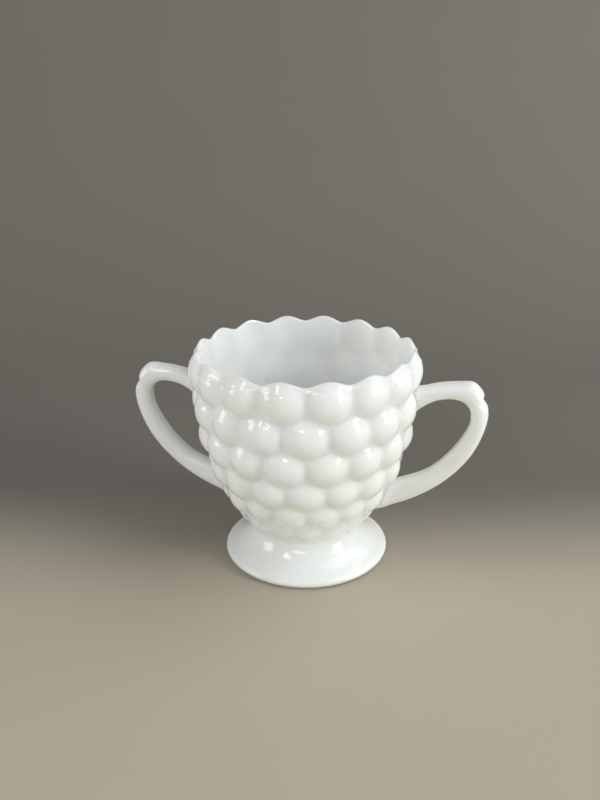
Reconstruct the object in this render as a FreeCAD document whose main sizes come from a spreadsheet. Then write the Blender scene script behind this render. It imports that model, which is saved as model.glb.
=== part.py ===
import FreeCAD, Part
import math
import os

import Sketcher

# A footed sugar bowl in pressed glass: a cup with rows of round bubbles, a scalloped rim,
# a smooth flared foot and two loop handles. Millimetres, +Z up, origin at the centre of
# the face that the foot stands on. The handles lie along the X axis.

SIZES = {
    # Cup. Between the bubbles its outside is an ellipse turned about Z.
    "cup_radius": 39.2,
    "cup_middle": 75.5,
    "cup_fall": 72.4,
    "neck_height": 13.5,
    "rim_height": 82.5,
    "valley_height": 80.3,
    # Cavity. An ellipse turned about Z and widest at the rim, so that the wall thickens
    # downwards, then a rounded corner and a flat floor.
    "mouth_radius": 37.9,
    "cavity_fall": 68.8,
    "floor_height": 18.0,
    "floor_radius": 11.0,
    "corner_height": 26.0,
    "lip_round": 1.0,
    # Bubbles. A row's pitch is its girth over the count. The step down to the next row, a
    # bubble's rise and half its width on the cup are shares of the pitch.
    "bubble_count": 16.0,
    "bubble_rows": 6.0,
    "first_row_height": 74.9,
    "row_step": 0.815,
    "bubble_rise": 0.185,
    "bubble_half": 0.455,
    # Foot.
    "foot_radius": 31.1,
    "foot_widest": 1.7,
    "shoulder_radius": 29.7,
    "shoulder_height": 3.6,
    "flare_radius": 23.5,
    "flare_height": 7.1,
    "rest_outer": 29.3,
    "rest_inner": 22.0,
    "hollow_depth": 3.0,
    # Handles.
    "handle_width": 8.0,
    "handle_round": 1.6,
}

# One handle's outline in the plane of the cup's axis, as (across, height): a curve from the
# upper root over the spur and round the outside to the lower root, and one back inside it.
HANDLE_OUTSIDE = [
    (37.7, 67.5),
    (47.5, 70.3),
    (54.0, 71.2),
    (59.3, 71.1),
    (62.3, 69.6),
    (63.4, 67.4),
    (63.5, 65.9),
    (65.4, 60.0),
    (63.0, 49.7),
    (56.2, 38.5),
    (45.2, 28.3),
    (35.5, 22.5),
    (23.4, 19.2),
]
HANDLE_INSIDE = [
    (29.2, 30.0),
    (40.6, 34.4),
    (49.9, 41.3),
    (56.4, 50.2),
    (59.0, 58.8),
    (57.4, 64.0),
    (52.4, 66.0),
    (45.0, 64.3),
    (37.7, 60.6),
]
HANDLE_ENDS = {
    "upper_root_top": HANDLE_OUTSIDE[0],
    "lower_root_bottom": HANDLE_OUTSIDE[-1],
    "lower_root_top": HANDLE_INSIDE[0],
    "upper_root_bottom": HANDLE_INSIDE[-1],
}
for end, (across, height) in HANDLE_ENDS.items():
    SIZES[end + "_across"] = across
    SIZES[end + "_height"] = height


def make_sheet(doc, values):
    """Write each value as a plain number with its alias in the sheet named Sizes."""
    sheet = doc.addObject("Spreadsheet::Sheet", "Sizes")
    for row, (alias, value) in enumerate(values.items(), start=1):
        sheet.set("A%d" % row, alias.replace("_", " "))
        sheet.set("B%d" % row, repr(round(value, 4)))
        sheet.setAlias("B%d" % row, alias)
    doc.recompute()


def cup_radius_at(height):
    """Radius of the cup's outside between the bubbles."""
    fall = (SIZES["cup_middle"] - height) / SIZES["cup_fall"]
    return SIZES["cup_radius"] * math.sqrt(1.0 - fall * fall)


def cup_normal_at(height):
    """Outward direction of the cup's outside, as (radial, vertical)."""
    radial = cup_radius_at(height) / SIZES["cup_radius"] ** 2
    vertical = (height - SIZES["cup_middle"]) / SIZES["cup_fall"] ** 2
    size = math.hypot(radial, vertical)
    return radial / size, vertical / size


def ball_sizes():
    """Radius and centre of the balls of each row, stepping down the cup's outside."""
    sizes = {}
    rise = SIZES["bubble_rise"]
    ball_ratio = (SIZES["bubble_half"] ** 2 + rise ** 2) / (2.0 * rise)
    height = SIZES["first_row_height"]
    for row in range(1, int(SIZES["bubble_rows"]) + 1):
        pitch = 2.0 * math.pi * cup_radius_at(height) / SIZES["bubble_count"]
        radial, vertical = cup_normal_at(height)
        sink = (ball_ratio - rise) * pitch
        sizes["ball_%d_radius" % row] = ball_ratio * pitch
        sizes["ball_%d_out" % row] = cup_radius_at(height) - sink * radial
        sizes["ball_%d_height" % row] = height - sink * vertical
        height -= SIZES["row_step"] * pitch * radial
    return sizes


def origin_feature(body, role):
    for feature in body.Origin.OriginFeatures:
        if feature.Role == role:
            return feature
    raise ValueError(role)


def point(across, height):
    return FreeCAD.Vector(across, height, 0.0)


def line(start, end):
    return Part.LineSegment(point(*start), point(*end))


def arc(start, middle, end):
    return Part.Arc(point(*start), point(*middle), point(*end))


def ellipse_arc(middle, across, fall, low, high):
    """Stretch of an ellipse centred on the axis at the middle height, from low up to high."""
    ellipse = Part.Ellipse(point(0.0, middle - fall), point(across, middle), point(0.0, middle))
    first = ellipse.parameter(point(*low))
    last = ellipse.parameter(point(*high))
    return Part.ArcOfEllipse(ellipse, first, last)


def upright_sketch(body, name, edges):
    """A sketch on the body's XZ plane that holds the given edges."""
    sketch = body.newObject("Sketcher::SketchObject", name)
    sketch.AttachmentSupport = [(origin_feature(body, "XZ_Plane"), "")]
    sketch.MapMode = "FlatFace"
    for edge in edges:
        sketch.addGeometry(edge, False)
    return sketch


def tie(sketch, geometry, across=None, height=None):
    """Tie the end of an edge that lies at these named sizes to the sheet."""
    for end in (1, 2):
        where = sketch.getPoint(geometry, end)
        wanted = [("DistanceX", across, where.x), ("DistanceY", height, where.y)]
        wanted = [entry for entry in wanted if entry[1] is not None]
        if all(abs(SIZES[alias] - value) < 1e-6 for _, alias, value in wanted):
            for kind, alias, value in wanted:
                index = sketch.addConstraint(Sketcher.Constraint(kind, -1, 1, geometry, end, value))
                sketch.setExpression("Constraints[%d]" % index, "Sizes." + alias)
            return
    raise ValueError("no end of edge %d is at %s, %s" % (geometry, across, height))


def turned(body, kind, name, sketch):
    """A full turn of a sketch about the body's upright axis, added or cut away."""
    feature = body.newObject("PartDesign::" + kind, name)
    feature.Profile = sketch
    feature.ReferenceAxis = (sketch, ["V_Axis"])
    feature.Angle = 360.0
    return feature


def cup_profile(body):
    size = SIZES
    neck = (cup_radius_at(size["neck_height"]), size["neck_height"])
    widest = (size["cup_radius"], size["cup_middle"])
    top = (size["cup_radius"], size["rim_height"])
    edges = [
        line((0.0, neck[1]), neck),
        ellipse_arc(size["cup_middle"], size["cup_radius"], size["cup_fall"], neck, widest),
        line(widest, top),
        line(top, (0.0, top[1])),
        line((0.0, top[1]), (0.0, neck[1])),
    ]
    sketch = upright_sketch(body, "CupProfile", edges)
    tie(sketch, 0, height="neck_height")
    tie(sketch, 3, across="cup_radius", height="rim_height")
    return sketch


def cavity_profile(body):
    size = SIZES
    inner = size["mouth_radius"]
    fall = size["cavity_fall"]
    lip = size["lip_round"]
    lip_low = (inner, size["rim_height"] - lip)
    lip_high = (inner + lip, size["rim_height"])
    bend = lip * math.sqrt(0.5)
    lip_middle = (lip_high[0] - bend, lip_low[1] + bend)
    depth = (lip_low[1] - size["corner_height"]) / fall
    corner = (inner * math.sqrt(1.0 - depth * depth), size["corner_height"])
    floor_edge = (size["floor_radius"], size["floor_height"])
    span = corner[0] - floor_edge[0]
    climb = corner[1] - floor_edge[1]
    turn = (span * span + climb * climb) / (2.0 * climb)
    half = 0.5 * math.asin(span / turn)
    knuckle = (floor_edge[0] + turn * math.sin(half), floor_edge[1] + turn * (1.0 - math.cos(half)))
    clear = 2.0 * size["cup_radius"]
    edges = [
        line((0.0, floor_edge[1]), floor_edge),
        arc(floor_edge, knuckle, corner),
        ellipse_arc(lip_low[1], inner, fall, corner, lip_low),
        arc(lip_low, lip_middle, lip_high),
        line(lip_high, (clear, lip_high[1])),
        line((clear, lip_high[1]), (clear, lip_high[1] + clear)),
        line((clear, lip_high[1] + clear), (0.0, lip_high[1] + clear)),
        line((0.0, lip_high[1] + clear), (0.0, floor_edge[1])),
    ]
    sketch = upright_sketch(body, "CavityProfile", edges)
    tie(sketch, 0, across="floor_radius", height="floor_height")
    return sketch


def add_bubble_row(body, row):
    """One row of balls, each second row half a pitch round from the first."""
    ball = body.newObject("PartDesign::AdditiveSphere", "Bubble%d" % row)
    ball.setExpression("Radius", "Sizes.ball_%d_radius" % row)
    out = "Sizes.ball_%d_out" % row
    turn = "180 deg / Sizes.bubble_count" if row % 2 == 0 else "0 deg"
    ball.setExpression("Placement.Base.x", "%s * cos(%s)" % (out, turn))
    ball.setExpression("Placement.Base.y", "%s * sin(%s)" % (out, turn))
    ball.setExpression("Placement.Base.z", "Sizes.ball_%d_height" % row)
    ring = body.newObject("PartDesign::PolarPattern", "BubbleRow%d" % row)
    ring.Originals = [ball]
    ring.Axis = (origin_feature(body, "Z_Axis"), [""])
    ring.Angle = 360.0
    ring.setExpression("Occurrences", "Sizes.bubble_count")
    body.Tip = ring


def cut_scallops(body):
    """Valleys in the rim between the first row's bubbles, each between two round tops."""
    size = SIZES
    half = math.pi * size["cup_radius"] / size["bubble_count"]
    fall = size["rim_height"] - size["valley_height"]
    top = (half * half + fall * fall) / (2.0 * fall)
    lean = 0.5 * math.asin(half / top)
    middle = (half - top * math.sin(lean), size["rim_height"] - top * (1.0 - math.cos(lean)))
    above = size["rim_height"] + fall
    low = (0.0, size["valley_height"])
    sketch = body.newObject("Sketcher::SketchObject", "ScallopProfile")
    sketch.AttachmentSupport = [(origin_feature(body, "YZ_Plane"), "")]
    sketch.MapMode = "FlatFace"
    turn = FreeCAD.Rotation(FreeCAD.Vector(0, 1, 0), 180.0 / size["bubble_count"])
    sketch.AttachmentOffset = FreeCAD.Placement(FreeCAD.Vector(), turn)
    edges = [
        arc(low, middle, (half, size["rim_height"])),
        line((half, size["rim_height"]), (half, above)),
        line((half, above), (-half, above)),
        line((-half, above), (-half, size["rim_height"])),
        arc((-half, size["rim_height"]), (-middle[0], middle[1]), low),
    ]
    for edge in edges:
        sketch.addGeometry(edge, False)
    tie(sketch, 1, height="rim_height")
    cut = body.newObject("PartDesign::Pocket", "Scallop")
    cut.Profile = sketch
    cut.Reversed = True
    cut.setExpression("Length", "2 * Sizes.cup_radius")
    ring = body.newObject("PartDesign::PolarPattern", "Scallops")
    ring.Originals = [cut]
    ring.Axis = (origin_feature(body, "Z_Axis"), [""])
    ring.Angle = 360.0
    ring.setExpression("Occurrences", "Sizes.bubble_count")
    body.Tip = ring


def make_bowl(doc):
    body = doc.addObject("PartDesign::Body", "Bowl")
    body.Label = "bowl"
    turned(body, "Revolution", "Cup", cup_profile(body))
    doc.recompute()
    for row in range(1, int(SIZES["bubble_rows"]) + 1):
        add_bubble_row(body, row)
        doc.recompute()
    turned(body, "Groove", "Cavity", cavity_profile(body))
    doc.recompute()
    whole = body.Shape.Volume
    cut_scallops(body)
    doc.recompute()
    if body.Shape.Volume >= whole:
        raise RuntimeError("the scallops cut nothing")
    return body


def make_foot(doc):
    size = SIZES
    body = doc.addObject("PartDesign::Body", "Foot")
    body.Label = "foot"
    neck = (cup_radius_at(size["neck_height"]), size["neck_height"])
    shoulder = (size["shoulder_radius"], size["shoulder_height"])
    flare = (size["flare_radius"], size["flare_height"])
    edge = (size["foot_radius"], size["foot_widest"])
    outer = (size["rest_outer"], 0.0)
    inner = (size["rest_inner"], 0.0)
    crown = (0.0, size["hollow_depth"])
    dome = (inner[0] ** 2 + crown[1] ** 2) / (2.0 * crown[1])
    half = 0.5 * math.asin(inner[0] / dome)
    hollow = (dome * math.sin(half), crown[1] - dome * (1.0 - math.cos(half)))
    edges = [
        line((0.0, neck[1]), neck),
        arc(neck, flare, shoulder),
        arc(shoulder, edge, outer),
        line(outer, inner),
        arc(inner, hollow, crown),
        line(crown, (0.0, neck[1])),
    ]
    sketch = upright_sketch(body, "FootProfile", edges)
    tie(sketch, 0, height="neck_height")
    tie(sketch, 2, across="shoulder_radius", height="shoulder_height")
    tie(sketch, 3, across="rest_outer")
    tie(sketch, 3, across="rest_inner")
    turned(body, "Revolution", "Pedestal", sketch)
    doc.recompute()
    return body


def curve(points):
    """A smooth curve through the points."""
    spline = Part.BSplineCurve()
    spline.interpolate([point(*place) for place in points])
    return spline


def handle_edges():
    """The handle's closed outline: outside, lower root, inside, upper root."""
    return [
        curve(HANDLE_OUTSIDE),
        line(HANDLE_OUTSIDE[-1], HANDLE_INSIDE[0]),
        curve(HANDLE_INSIDE),
        line(HANDLE_INSIDE[-1], HANDLE_OUTSIDE[0]),
    ]


def long_edges(shape):
    """Names of the outline's edges on the strap's two sides, without the cut roots."""
    names = []
    side = 0.5 * SIZES["handle_width"]
    for index, edge in enumerate(shape.Edges, start=1):
        box = edge.BoundBox
        on_side = abs(abs(box.YMin) - side) < 1e-4 and box.YLength < 1e-4
        if on_side and not isinstance(edge.Curve, Part.Line):
            names.append("Edge%d" % index)
    return names


def make_handle(doc, bowl, label, angle):
    """A strap loop in the plane of the cup's axis, trimmed to fit against the bubbles."""
    name = label.title().replace("_", "")
    body = doc.addObject("PartDesign::Body", name + "Strap")
    sketch = upright_sketch(body, name + "Outline", handle_edges())
    for end in HANDLE_ENDS:
        tie(sketch, 1 if end.startswith("lower") else 3, end + "_across", end + "_height")
    strap = body.newObject("PartDesign::Pad", name + "Pad")
    strap.Profile = sketch
    strap.SideType = "Symmetric"
    strap.setExpression("Length", "Sizes.handle_width")
    doc.recompute()
    rounded = body.newObject("PartDesign::Fillet", name + "Round")
    rounded.Base = (strap, long_edges(strap.Shape))
    rounded.setExpression("Radius", "Sizes.handle_round")
    turn = FreeCAD.Rotation(FreeCAD.Vector(0, 0, 1), angle)
    body.Placement = FreeCAD.Placement(FreeCAD.Vector(), turn)
    doc.recompute()
    fitted = doc.addObject("Part::Cut", name)
    fitted.Label = label
    fitted.Base = body
    fitted.Tool = bowl
    doc.recompute()
    return fitted


def check(doc, pieces):
    for thing in doc.Objects:
        if "Invalid" in thing.State or "Error" in thing.State:
            raise RuntimeError("%s failed: %s" % (thing.Name, thing.State))
    for piece in pieces:
        shape = piece.Shape
        if shape.isNull() or not shape.isValid() or len(shape.Solids) != 1:
            raise RuntimeError("%s is not one valid solid" % piece.Label)


def main():
    doc = FreeCAD.newDocument("SugarBowl")
    make_sheet(doc, {**SIZES, **ball_sizes()})
    bowl = make_bowl(doc)
    foot = make_foot(doc)
    right = make_handle(doc, bowl, "handle_right", 0.0)
    left = make_handle(doc, bowl, "handle_left", 180.0)
    pieces = [bowl, foot, right, left]
    check(doc, pieces)
    os.makedirs("parts", exist_ok=True)
    for piece in pieces:
        piece.Shape.exportStep("parts/%s.step" % piece.Label)
        print(piece.Label, round(piece.Shape.Volume), piece.Shape.BoundBox)


main()
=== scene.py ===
import math

import bpy
import numpy as np
from mathutils import Matrix, Vector


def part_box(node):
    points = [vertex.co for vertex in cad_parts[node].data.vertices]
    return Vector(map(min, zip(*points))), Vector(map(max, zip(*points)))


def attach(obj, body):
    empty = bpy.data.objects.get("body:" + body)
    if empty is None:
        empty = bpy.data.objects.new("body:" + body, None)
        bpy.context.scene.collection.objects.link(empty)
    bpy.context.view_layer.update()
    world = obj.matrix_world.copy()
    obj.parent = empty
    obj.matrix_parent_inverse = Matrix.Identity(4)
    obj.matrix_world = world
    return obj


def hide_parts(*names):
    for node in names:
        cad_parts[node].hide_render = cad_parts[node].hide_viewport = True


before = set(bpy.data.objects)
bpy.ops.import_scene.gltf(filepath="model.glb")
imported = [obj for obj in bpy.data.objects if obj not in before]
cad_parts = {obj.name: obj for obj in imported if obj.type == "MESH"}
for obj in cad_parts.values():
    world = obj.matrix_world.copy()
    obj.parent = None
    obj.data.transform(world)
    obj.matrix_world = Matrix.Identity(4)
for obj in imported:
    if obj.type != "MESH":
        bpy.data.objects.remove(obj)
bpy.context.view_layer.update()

# A footed sugar bowl of opaque white pressed glass, with its handles on X. The glass is
# drawn in millimetres, which MM turns into metres. Stage, camera and lights are in metres.

MM = 0.001
BODY = "root"

bowl_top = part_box("bowl")[1]
foot_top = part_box("foot")[1]
NECK_Z = foot_top.z / MM
RIM_Z = bowl_top.z / MM
FOOT_RADIUS = foot_top.x / MM

# Cup: the outside between the bubbles is an ellipse turned about Z. The rim dips to its
# valley height between two bubbles, and a lower power of the scallop makes rounder tops.
CUP_RADIUS = 39.2
CUP_MIDDLE = 75.5
CUP_FALL = 72.4
VALLEY_Z = 80.5
SCALLOP_POWER = 0.85

# Bubbles: balls sunk in the cup, each row half a pitch round from the last. Row step, rise
# and half width are shares of the pitch, and the lower rows stand out less.
BUBBLE_COUNT = 16
FIRST_ROW_Z = 74.9
ROW_STEP = 0.815
BUBBLE_RISE = 0.185
BUBBLE_HALF = 0.455
ROW_SHARES = (1.0, 1.0, 1.0, 0.95, 0.85, 0.6)
CREASE_ROUND = 0.9
WEB_RISE = 0.1

# Neck: the glass runs on down into the foot with no step, and the relief fades out there.
NECK_RADIUS = 21.0
NECK_BLEND = 2.0
NECK_FADE = 2.2

# Cavity: a full ellipse-like curve from the lip to the middle of the floor. The wall inside
# the rim follows the bubbles a little, which dies away with depth.
MOUTH_RADIUS = 37.9
FLOOR_Z = 18.0
CAVITY_POWER = 2.25
LIP_DROP = 1.15
FLUTE_RISE = 0.45
FLUTE_DEPTH = 11.0

# Lip: one cubic curve over the top. A cubic reaches three quarters of the way to its handles,
# and the outer handle is drawn in a little. The scallops fade out this far below row one.
CUBIC_REACH = 0.75
LIP_LEAN = 0.9
SCALLOP_FADE = 6.0

# Seam that the mould's top ring leaves round the first row.
SEAM_Z = 78.9
SEAM_RISE = 0.16
SEAM_WIDTH = 0.20
SEAM_REACH = 3.0

# Waviness of fire-polished glass: height, length and seed of each set of waves. It dies away
# towards the neck, the middle of the cavity's floor and the ring on which the foot stands.
BOWL_WAVES = (0.035, 17.0, 5)
BOWL_FINE_WAVES = (0.012, 6.0, 8)
FOOT_WAVES = (0.05, 19.0, 11)
HANDLE_WAVES = (0.04, 15.0, 21)
WAVE_COUNT = 7
NECK_CALM = 2.0
FLOOR_CALM = 8.0
REST_CALM = 3.0

# Mesh density.
COLUMNS = BUBBLE_COUNT * 24
OUTER_STEPS = 180
SEAM_STEPS = 14
LIP_STEPS = 14
INNER_STEPS = 70
FOOT_STEPS = 16


def cup_radius(height):
    fall = np.clip((CUP_MIDDLE - height) / CUP_FALL, 0.0, 1.0)
    return CUP_RADIUS * np.sqrt(1.0 - fall * fall)


def cup_normal(height):
    """Outward direction of the cup's outside, as (radial, vertical)."""
    radial = cup_radius(height) / CUP_RADIUS ** 2
    vertical = np.minimum(height - CUP_MIDDLE, 0.0) / CUP_FALL ** 2
    size = np.hypot(radial, vertical)
    return radial / size, vertical / size


def ball_rows():
    """(ball radius, centre radius, centre height) of each row, stepping down the cup."""
    rows = []
    height = FIRST_ROW_Z
    for row in range(len(ROW_SHARES)):
        rise = BUBBLE_RISE * ROW_SHARES[row]
        ratio = (BUBBLE_HALF ** 2 + rise ** 2) / (2.0 * rise)
        pitch = 2.0 * math.pi * float(cup_radius(height)) / BUBBLE_COUNT
        radial, vertical = (float(part) for part in cup_normal(height))
        sink = (ratio - rise) * pitch
        rows.append((ratio * pitch, float(cup_radius(height)) - sink * radial, height - sink * vertical))
        height -= ROW_STEP * pitch * radial
    return rows


BALLS = ball_rows()


def smooth_max(a, b, width):
    """The larger of two heights, rounded where they cross."""
    blend = np.clip(0.5 + 0.5 * (a - b) / width, 0.0, 1.0)
    return b + (a - b) * blend + width * blend * (1.0 - blend)


def ball_height(theta, radius, height, normal, ball):
    """How far along the normal the surface meets one ball, whose centre is at theta 0."""
    size, out, level = ball
    radial, vertical = normal
    across = radius * np.cos(theta) - out
    aside = radius * np.sin(theta)
    above = height - level
    along = radial * (across * np.cos(theta) + aside * np.sin(theta)) + vertical * above
    reach = along * along - (across * across + aside * aside + above * above - size * size)
    return -along + np.sign(reach) * np.sqrt(np.abs(reach))


def relief(theta, height):
    """Height of the bubble relief over the cup's outside."""
    radius = cup_radius(height)
    normal = cup_normal(height)
    step = 2.0 * math.pi / BUBBLE_COUNT
    rise = np.full(np.broadcast(theta, height).shape, WEB_RISE)
    for row, ball in enumerate(BALLS):
        turn = 0.5 * step * (row % 2)
        near = (theta - turn + 0.5 * step) % step - 0.5 * step
        for shift in (-step, 0.0, step):
            rise = smooth_max(rise, ball_height(near + shift, radius, height, normal, ball), CREASE_ROUND)
    return rise


def scallop(theta):
    """1 over the middle of each bubble of the first row, 0 between two of them."""
    return (0.5 + 0.5 * np.cos(BUBBLE_COUNT * theta)) ** SCALLOP_POWER


def rim_height(theta):
    """Height of the scalloped rim: a round top over each bubble of the first row."""
    return VALLEY_Z + (RIM_Z - VALLEY_Z) * scallop(theta)


def flute(theta, depth):
    """How far the wall inside the rim follows the bubbles outward, fading with depth."""
    return FLUTE_RISE * (2.0 * scallop(theta) - 1.0) * np.exp(-(depth / FLUTE_DEPTH) ** 2)


def ripple(x, y, z, waves, turn=0):
    """Gentle unevenness of fire-polished glass, as a few crossing waves of one set."""
    rise, size, seed = waves
    rng = np.random.default_rng(seed + turn)
    total = np.zeros(np.broadcast(x, y, z).shape)
    for _ in range(WAVE_COUNT):
        way = rng.normal(size=3)
        way /= np.linalg.norm(way)
        pace = 2.0 * math.pi / (size * rng.uniform(0.7, 1.6))
        total += np.sin(pace * (way[0] * x + way[1] * y + way[2] * z) + rng.uniform(0.0, 2.0 * math.pi))
    return rise * (total / WAVE_COUNT)


def grid_object(name, points):
    """A mesh from rings of points (ring, column, xyz in mm), closed round, fanned at both ends."""
    rings, columns, _ = points.shape
    vertices = [tuple(place * MM) for place in points.reshape(-1, 3)]
    faces = []
    for ring in range(rings - 1):
        for column in range(columns):
            after = (column + 1) % columns
            low, high = ring * columns, (ring + 1) * columns
            faces.append((low + column, low + after, high + after, high + column))
    for ring in (0, rings - 1):
        middle = len(vertices)
        vertices.append(tuple(points[ring].mean(axis=0) * MM))
        for column in range(columns):
            after = (column + 1) % columns
            pair = (ring * columns + column, ring * columns + after)
            faces.append((middle, pair[1], pair[0]) if ring == 0 else (middle, pair[0], pair[1]))
    mesh = bpy.data.meshes.new(name)
    mesh.from_pydata(vertices, [], faces)
    mesh.validate()
    mesh.shade_smooth()
    piece = bpy.data.objects.new(name, mesh)
    bpy.context.scene.collection.objects.link(piece)
    return piece


def finished(piece, material, *nodes):
    """Give a piece its glass and its place on the CAD model."""
    piece.data.materials.append(material)
    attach(piece, BODY)
    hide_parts(*nodes)
    return piece


def outer_rings(theta, rim):
    """Rings up the outside from the neck to the lip, as (radius, height)."""
    top = RIM_Z - LIP_DROP
    fade_start = FIRST_ROW_Z - SCALLOP_FADE
    seam = SEAM_Z + SEAM_WIDTH * np.linspace(-SEAM_REACH, SEAM_REACH, SEAM_STEPS)
    levels = np.sort(np.concatenate([np.linspace(NECK_Z, top, OUTER_STEPS), seam]))
    rings = []
    for level in levels:
        share = np.clip((level - fade_start) / (top - fade_start), 0.0, 1.0)
        height = level + (rim - RIM_Z) * share * share * (3.0 - 2.0 * share)
        radial, vertical = cup_normal(height)
        rise = relief(theta, height) * np.clip((height - NECK_Z) / NECK_FADE, 0.0, 1.0)
        rise = rise + SEAM_RISE * np.exp(-((height - SEAM_Z) / SEAM_WIDTH) ** 2)
        wall = smooth_max(cup_radius(height), NECK_RADIUS, NECK_BLEND)
        rings.append((wall + radial * rise, height + vertical * rise))
    return rings


def lip_rings(outer, below, inner_r, inner_z):
    """Rings over the lip, from the last outside ring to the top of the cavity."""
    lean = (outer[0] - below[0]) / (outer[1] - below[1])
    lift = LIP_DROP / CUBIC_REACH
    controls = [
        outer,
        (outer[0] + lean * lift * LIP_LEAN, outer[1] + lift),
        (inner_r, inner_z + lift),
        (inner_r, inner_z),
    ]
    rings = []
    for t in np.linspace(0.0, 1.0, LIP_STEPS + 2)[1:-1]:
        weights = ((1 - t) ** 3, 3 * t * (1 - t) ** 2, 3 * t * t * (1 - t), t ** 3)
        radius = sum(weight * control[0] for weight, control in zip(weights, controls))
        height = sum(weight * control[1] for weight, control in zip(weights, controls))
        rings.append((radius, height))
    return rings


def cavity_rings(theta, inner_z):
    """Rings down the inside to just short of the middle of the floor."""
    rings = []
    for turn in np.linspace(0.0, 0.5 * math.pi, INNER_STEPS, endpoint=False):
        depth = (inner_z - FLOOR_Z) * math.sin(turn) ** (2.0 / CAVITY_POWER)
        radius = MOUTH_RADIUS * math.cos(turn) ** (2.0 / CAVITY_POWER)
        rings.append((radius + flute(theta, depth), inner_z - depth))
    return rings


def turned(radius, height, theta):
    """Rings of points, as (ring, column, xyz)."""
    return np.stack([radius * np.cos(theta), radius * np.sin(theta), height], axis=-1)


def bowl_rings():
    """Rings of the bowl's skin from the neck up the outside, over the lip and down the cavity."""
    theta = np.linspace(0.0, 2.0 * math.pi, COLUMNS, endpoint=False)
    rim = rim_height(theta)
    inner_z = rim - LIP_DROP
    rings = outer_rings(theta, rim)
    rings += lip_rings(rings[-1], rings[-2], MOUTH_RADIUS + flute(theta, 0.0), inner_z)
    rings += cavity_rings(theta, inner_z)
    radius = np.array([ring[0] for ring in rings])
    height = np.array([ring[1] for ring in rings])
    x, y = radius * np.cos(theta), radius * np.sin(theta)
    uneven = ripple(x, y, height, BOWL_WAVES) + ripple(x, y, height, BOWL_FINE_WAVES)
    fade = np.clip((height - NECK_Z) / NECK_CALM, 0.0, 1.0) * np.clip(radius / FLOOR_CALM, 0.0, 1.0)
    return turned(radius + uneven * fade, height, theta)


def bezier(points, steps):
    """Points of a chain of cubic curves; each three further points carry it on."""
    places = [np.array(points[0], float)]
    for start in range(0, len(points) - 1, 3):
        a, b, c, d = (np.array(p, float) for p in points[start:start + 4])
        for t in np.linspace(0.0, 1.0, steps + 1)[1:]:
            places.append((1 - t) ** 3 * a + 3 * t * (1 - t) ** 2 * b + 3 * t * t * (1 - t) * c + t ** 3 * d)
    return np.array(places)


def foot_rings():
    """Rings of the pedestal from the hollow beneath, round the rolled edge and up to the neck."""
    edge = FOOT_RADIUS
    neck = float(smooth_max(cup_radius(NECK_Z), NECK_RADIUS, NECK_BLEND))
    profile = bezier([
        (1.5, 3.0), (12.0, 3.0), (edge - 11.5, 0.35), (edge - 8.6, 0.0),
        (edge - 7.0, 0.0), (edge - 4.5, 0.0), (edge - 3.1, 0.0),
        (edge - 1.3, 0.0), (edge, 1.3), (edge, 2.4),
        (edge - 0.15, 3.3), (edge - 1.1, 3.75), (edge - 2.0, 4.15),
        (edge - 6.2, 6.0), (neck, NECK_Z - 3.6), (neck, NECK_Z),
    ], FOOT_STEPS)
    theta = np.linspace(0.0, 2.0 * math.pi, COLUMNS, endpoint=False)
    radius = profile[:, :1] + np.zeros_like(theta)
    height = profile[:, 1:] + np.zeros_like(theta)
    x, y = radius * np.cos(theta), radius * np.sin(theta)
    fade = np.clip(height / REST_CALM, 0.0, 1.0) * np.clip((NECK_Z - height) / NECK_CALM, 0.0, 1.0)
    return turned(radius + ripple(x, y, height, FOOT_WAVES) * fade, height, theta)


def make_body(material):
    """Bowl and foot in one skin, because the glass runs through the neck without a joint."""
    points = np.concatenate([foot_rings(), bowl_rings()[1:]])
    piece = grid_object("body_glass", points)
    return finished(piece, material, "bowl", "foot")


# Handle: ribs across the strap, each an outside point and an inside point (across, height),
# from inside the cup's wall, out over the spur, round the loop and back into the wall.
HANDLE_RIBS = [
    ((38.0, 68.0), (38.0, 59.5)),
    ((47.5, 71.0), (47.0, 65.0)),
    ((55.0, 72.0), (53.0, 66.0)),
    ((60.0, 72.0), (56.5, 65.0)),
    ((63.5, 68.0), (58.5, 63.0)),
    ((63.3, 66.5), (59.0, 62.0)),
    ((65.2, 63.0), (59.3, 60.0)),
    ((65.0, 56.5), (59.0, 56.0)),
    ((60.5, 44.5), (54.0, 46.5)),
    ((51.0, 33.2), (45.5, 37.5)),
    ((38.5, 24.8), (36.0, 33.0)),
    ((25.0, 20.2), (28.0, 30.0)),
]

# The strap's section is a squarish oval. Its outer face has lengthwise flutes and each side
# has fine ridges, placed in shares of the half width and half thickness.
STRAP_HALF_WIDTH = 3.9
STRAP_SQUARENESS = 2.8
FLUTE_MIDDLES = (-0.5, 0.0, 0.5)
FLUTE_DEEP = 0.10
FLUTE_WIDE = 0.13
RIDGE_LEVELS = (0.35, -0.05)
RIDGE_RISE = 0.045
RIDGE_WIDE = 0.08

# Roots: the strap swells where it meets the cup, and less in thickness than in width.
ROOT_FLARE = 1.4
ROOT_REACH = 1.5
ROOT_START = 1.6
ROOT_THICKEN = 0.4
RIB_STEPS = 14
SECTION_STEPS = 128


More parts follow.
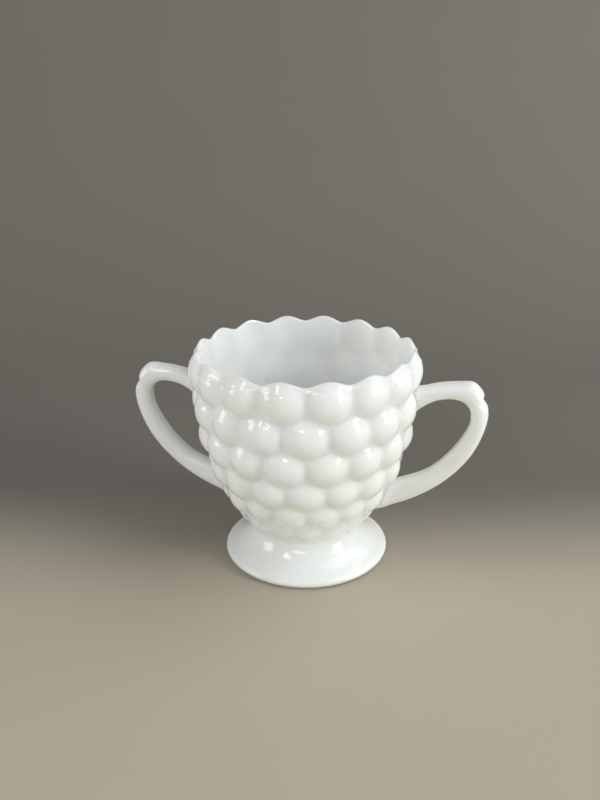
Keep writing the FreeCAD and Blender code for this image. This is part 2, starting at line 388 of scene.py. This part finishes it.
def spline(places, steps):
    """A smooth curve through the places, with centripetal spacing."""
    places = np.asarray(places, float)
    ends = np.vstack([2 * places[0] - places[1], places, 2 * places[-1] - places[-2]])
    knots = np.concatenate([[0.0], np.cumsum(np.linalg.norm(np.diff(ends, axis=0), axis=1) ** 0.5)])
    curve = []
    for i in range(1, len(ends) - 2):
        k0, k1, k2, k3 = knots[i - 1:i + 3]
        a, b, c, d = ends[i - 1:i + 3]
        for u in np.linspace(k1, k2, steps, endpoint=False):
            ab = (k1 - u) / (k1 - k0) * a + (u - k0) / (k1 - k0) * b
            bc = (k2 - u) / (k2 - k1) * b + (u - k1) / (k2 - k1) * c
            cd = (k3 - u) / (k3 - k2) * c + (u - k2) / (k3 - k2) * d
            abc = (k2 - u) / (k2 - k0) * ab + (u - k0) / (k2 - k0) * bc
            bcd = (k3 - u) / (k3 - k1) * bc + (u - k1) / (k3 - k1) * cd
            curve.append((k2 - u) / (k2 - k1) * abc + (u - k1) / (k2 - k1) * bcd)
    curve.append(places[-1])
    return np.array(curve)


def strap_section():
    """The strap's section: (width, thickness) from -1 to 1, ridged sides and a fluted face."""
    angle = np.linspace(0.0, 2.0 * math.pi, SECTION_STEPS, endpoint=False)
    power = 2.0 / STRAP_SQUARENESS
    width = np.sign(np.cos(angle)) * np.abs(np.cos(angle)) ** power
    thick = np.sign(np.sin(angle)) * np.abs(np.sin(angle)) ** power
    face = np.clip(thick, 0.0, 1.0) ** 2
    for middle in FLUTE_MIDDLES:
        thick = thick - FLUTE_DEEP * face * np.exp(-((width - middle) / FLUTE_WIDE) ** 2)
    side = np.abs(width) ** 3
    ridges = sum(np.exp(-((thick - level) / RIDGE_WIDE) ** 2) for level in RIDGE_LEVELS)
    return width * (1.0 + RIDGE_RISE * side * ridges), thick


def make_handle(name, node, side, material):
    """One handle: the strap's section carried along the ribs, on the +X or -X side."""
    ribs = np.array(HANDLE_RIBS)
    outside = spline(ribs[:, 0], RIB_STEPS)
    inside = spline(ribs[:, 1], RIB_STEPS)
    width, thick = strap_section()
    rings = []
    for out, back in zip(outside, inside):
        middle = 0.5 * (out + back)
        half = 0.5 * (out - back)
        crease = float(cup_radius(middle[1]))
        gap = (middle[0] - crease) * float(cup_normal(middle[1])[0]) - ROOT_START
        flare = ROOT_FLARE * math.exp(-max(gap, 0.0) / ROOT_REACH)
        half = half * (1.0 + ROOT_THICKEN * flare / np.linalg.norm(half))
        spread = STRAP_HALF_WIDTH + flare
        across = middle[0] + half[0] * thick
        height = middle[1] + half[1] * thick
        rings.append(np.stack([across, spread * width, height], axis=-1))
    points = np.array(rings)
    points[..., 1] += ripple(points[..., 0], points[..., 1], points[..., 2], HANDLE_WAVES, int(side))
    points[..., 0] *= side
    points[..., 1] *= side
    return finished(grid_object(name, points), material, node)


def shader(name):
    """A new node material, its node tree and its shader."""
    material = bpy.data.materials.new(name)
    material.use_nodes = True
    tree = material.node_tree
    glass = tree.nodes["Principled BSDF"]
    return material, tree, glass


def add(tree, kind, **values):
    """A new node, with each value set on the input of that name, or else on the node itself."""
    node = tree.nodes.new(kind)
    for key, value in values.items():
        if key in node.inputs.keys():
            node.inputs[key].default_value = value
        else:
            setattr(node, key, value)
    return node


def milk_glass():
    """Opaque white glass: a soft inner glow under a hard fire-polished skin."""
    material, tree, glass = shader("milk_glass")
    place = add(tree, "ShaderNodeTexCoord")
    cloud = add(tree, "ShaderNodeTexNoise", Scale=34.0, Detail=4.0, Roughness=0.55)
    tint = add(tree, "ShaderNodeValToRGB")
    tint.color_ramp.elements[0].position = 0.34
    tint.color_ramp.elements[0].color = (0.82, 0.825, 0.79, 1.0)
    tint.color_ramp.elements[1].position = 0.66
    tint.color_ramp.elements[1].color = (0.85, 0.87, 0.86, 1.0)
    tree.links.new(place.outputs["Object"], cloud.inputs["Vector"])
    tree.links.new(cloud.outputs["Fac"], tint.inputs["Fac"])
    tree.links.new(tint.outputs["Color"], glass.inputs["Base Color"])

    smear = add(tree, "ShaderNodeTexNoise", Scale=95.0, Detail=5.0, Roughness=0.6)
    gloss = add(tree, "ShaderNodeMapRange")
    gloss.inputs["From Min"].default_value = 0.3
    gloss.inputs["From Max"].default_value = 0.75
    gloss.inputs["To Min"].default_value = 0.03
    gloss.inputs["To Max"].default_value = 0.08
    tree.links.new(place.outputs["Object"], smear.inputs["Vector"])
    tree.links.new(smear.outputs["Fac"], gloss.inputs["Value"])
    tree.links.new(gloss.outputs["Result"], glass.inputs["Roughness"])

    skin = add(tree, "ShaderNodeTexNoise", Scale=240.0, Detail=2.0, Roughness=0.5)
    bump = add(tree, "ShaderNodeBump", Strength=0.05, Distance=0.0004)
    tree.links.new(place.outputs["Object"], skin.inputs["Vector"])
    tree.links.new(skin.outputs["Fac"], bump.inputs["Height"])
    tree.links.new(bump.outputs["Normal"], glass.inputs["Normal"])

    glass.inputs["IOR"].default_value = 1.5
    glass.inputs["Subsurface Weight"].default_value = 0.9
    glass.inputs["Subsurface Radius"].default_value = (1.0, 0.92, 0.8)
    glass.inputs["Subsurface Scale"].default_value = 0.0065
    return material


# Painted shade: the paper turns from pale to dark between these two depths behind the bowl's middle,
# standing in for the light falling off towards the wall.
PAINTED_SHADE_START = -0.045
PAINTED_SHADE_FULL = 0.06


def paper_with_painted_shade():
    """Matt paper with painted shade: pale in front and darker behind where the light falls off, with a faint
    mottle.
    """
    material, tree, paper = shader("paper_with_painted_shade")
    place = add(tree, "ShaderNodeTexCoord")
    split = add(tree, "ShaderNodeSeparateXYZ")
    depth = add(tree, "ShaderNodeMapRange")
    depth.inputs["From Min"].default_value = PAINTED_SHADE_START
    depth.inputs["From Max"].default_value = PAINTED_SHADE_FULL
    # This ramp paints the shade: the pale floor colour in front darkens to a dark colour behind, standing in
    # for less light reaching the wall.
    painted_shade = add(tree, "ShaderNodeValToRGB")
    painted_shade.color_ramp.interpolation = "EASE"
    painted_shade.color_ramp.elements[0].color = (0.455, 0.41, 0.315, 1.0)
    painted_shade.color_ramp.elements[1].color = (0.166, 0.151, 0.129, 1.0)
    grain = add(tree, "ShaderNodeTexNoise", Scale=9.0, Detail=3.0)
    blend = add(tree, "ShaderNodeMixRGB", blend_type="SOFT_LIGHT")
    blend.inputs["Fac"].default_value = 0.06
    tree.links.new(place.outputs["Object"], split.inputs["Vector"])
    tree.links.new(split.outputs["Y"], depth.inputs["Value"])
    tree.links.new(depth.outputs["Result"], painted_shade.inputs["Fac"])
    tree.links.new(painted_shade.outputs["Color"], blend.inputs["Color1"])
    tree.links.new(grain.outputs["Color"], blend.inputs["Color2"])
    tree.links.new(blend.outputs["Color"], paper.inputs["Base Color"])
    paper.inputs["Roughness"].default_value = 0.75
    return material


def make_stage():
    """A pale floor that sweeps up into a plain wall behind the bowl."""
    rear, bend, tall, wide, front = 0.55, 0.35, 1.6, 1.6, -1.4
    profile = [(front, 0.0), (rear - bend, 0.0)]
    for turn in np.linspace(0.0, 0.5 * math.pi, 24)[1:]:
        profile.append((rear - bend + bend * math.sin(turn), bend - bend * math.cos(turn)))
    profile.append((rear, tall))
    vertices = [(x, y, z) for x in (-wide, wide) for y, z in profile]
    count = len(profile)
    faces = [(i, i + count, i + count + 1, i + 1) for i in range(count - 1)]
    mesh = bpy.data.meshes.new("studio_sweep")
    mesh.from_pydata(vertices, [], faces)
    mesh.shade_smooth()
    sweep = bpy.data.objects.new("studio_sweep", mesh)
    sweep.rotation_euler = (0.0, 0.0, PHOTO_TURN)
    bpy.context.scene.collection.objects.link(sweep)
    mesh.materials.append(paper_with_painted_shade())


# Camera: it stands a little to the +X side of the front and looks down at the bowl.
PHOTO_TURN = math.radians(11.42)
CAMERA_DISTANCE = 304.8 * MM
CAMERA_AIM_Z = 45.95 * MM
CAMERA_CLIMB = math.radians(24.35)
CAMERA_PITCH = math.radians(21.65)
CAMERA_YAW = math.radians(-0.42)
CAMERA_ROLL = math.radians(-0.48)
LENS = 36.74


def make_camera():
    """The camera on its circle round the bowl, turned a little off the middle and levelled."""
    place = Vector((0.0, -math.cos(CAMERA_CLIMB), math.sin(CAMERA_CLIMB))) * CAMERA_DISTANCE
    place.z += CAMERA_AIM_Z
    ahead = Vector((
        math.sin(CAMERA_YAW) * math.cos(CAMERA_PITCH),
        math.cos(CAMERA_YAW) * math.cos(CAMERA_PITCH),
        -math.sin(CAMERA_PITCH),
    ))
    right = ahead.cross(Vector((0.0, 0.0, 1.0))).normalized()
    up = right.cross(ahead)
    turned_right = right * math.cos(CAMERA_ROLL) + up * math.sin(CAMERA_ROLL)
    turned_up = up * math.cos(CAMERA_ROLL) - right * math.sin(CAMERA_ROLL)
    axes = Matrix((turned_right, turned_up, -ahead)).transposed().to_4x4()
    data = bpy.data.cameras.new("photo_camera")
    data.sensor_width = 36.0
    data.lens = LENS
    camera = bpy.data.objects.new("photo_camera", data)
    bpy.context.scene.collection.objects.link(camera)
    camera.matrix_world = Matrix.Rotation(PHOTO_TURN, 4, "Z") @ Matrix.Translation(place) @ axes
    bpy.context.scene.camera = camera


LIGHT_AIM_Z = 0.045


def area_light(name, azimuth, climb, distance, width, height, power, colour):
    """A rectangular light round the bowl: azimuth 0 is the camera's side, positive to its right."""
    turn = math.radians(azimuth) + PHOTO_TURN
    lift = math.radians(climb)
    way = Vector((math.sin(turn) * math.cos(lift), -math.cos(turn) * math.cos(lift), math.sin(lift)))
    data = bpy.data.lights.new(name, "AREA")
    data.shape = "RECTANGLE"
    data.size = width
    data.size_y = height
    data.energy = power
    data.color = colour
    light = bpy.data.objects.new(name, data)
    light.location = way * distance + Vector((0.0, 0.0, LIGHT_AIM_Z))
    light.rotation_euler = way.to_track_quat("Z", "Y").to_euler()
    bpy.context.scene.collection.objects.link(light)


def make_lights():
    """Two side windows, a front window, a small front lamp, a pale ceiling and the room's fill."""
    area_light("window_right", 61.0, 14.0, 1.5, 0.42, 0.95, 14.0, (0.98, 1.0, 0.99))
    area_light("window_left", -75.0, 10.0, 1.5, 0.55, 0.90, 7.0, (0.97, 0.99, 1.0))
    area_light("window_front", -38.0, 34.0, 0.9, 0.17, 0.34, 1.0, (1.0, 1.0, 1.0))
    area_light("lamp_front", -13.0, 20.0, 0.9, 0.28, 0.11, 0.8, (1.0, 1.0, 1.0))
    area_light("ceiling", 100.0, 50.0, 1.1, 1.2, 1.0, 7.0, (0.95, 0.98, 1.0))
    world = bpy.data.worlds.new("room")
    world.use_nodes = True
    world.node_tree.nodes["Background"].inputs["Color"].default_value = (0.62, 0.635, 0.64, 1.0)
    world.node_tree.nodes["Background"].inputs["Strength"].default_value = 0.45
    bpy.context.scene.world = world
    bpy.context.scene.view_settings.view_transform = "Standard"


glass = milk_glass()
make_body(glass)
make_handle("handle_right_glass", "handle_right", 1.0, glass)
make_handle("handle_left_glass", "handle_left", -1.0, glass)
make_stage()
make_camera()
make_lights()
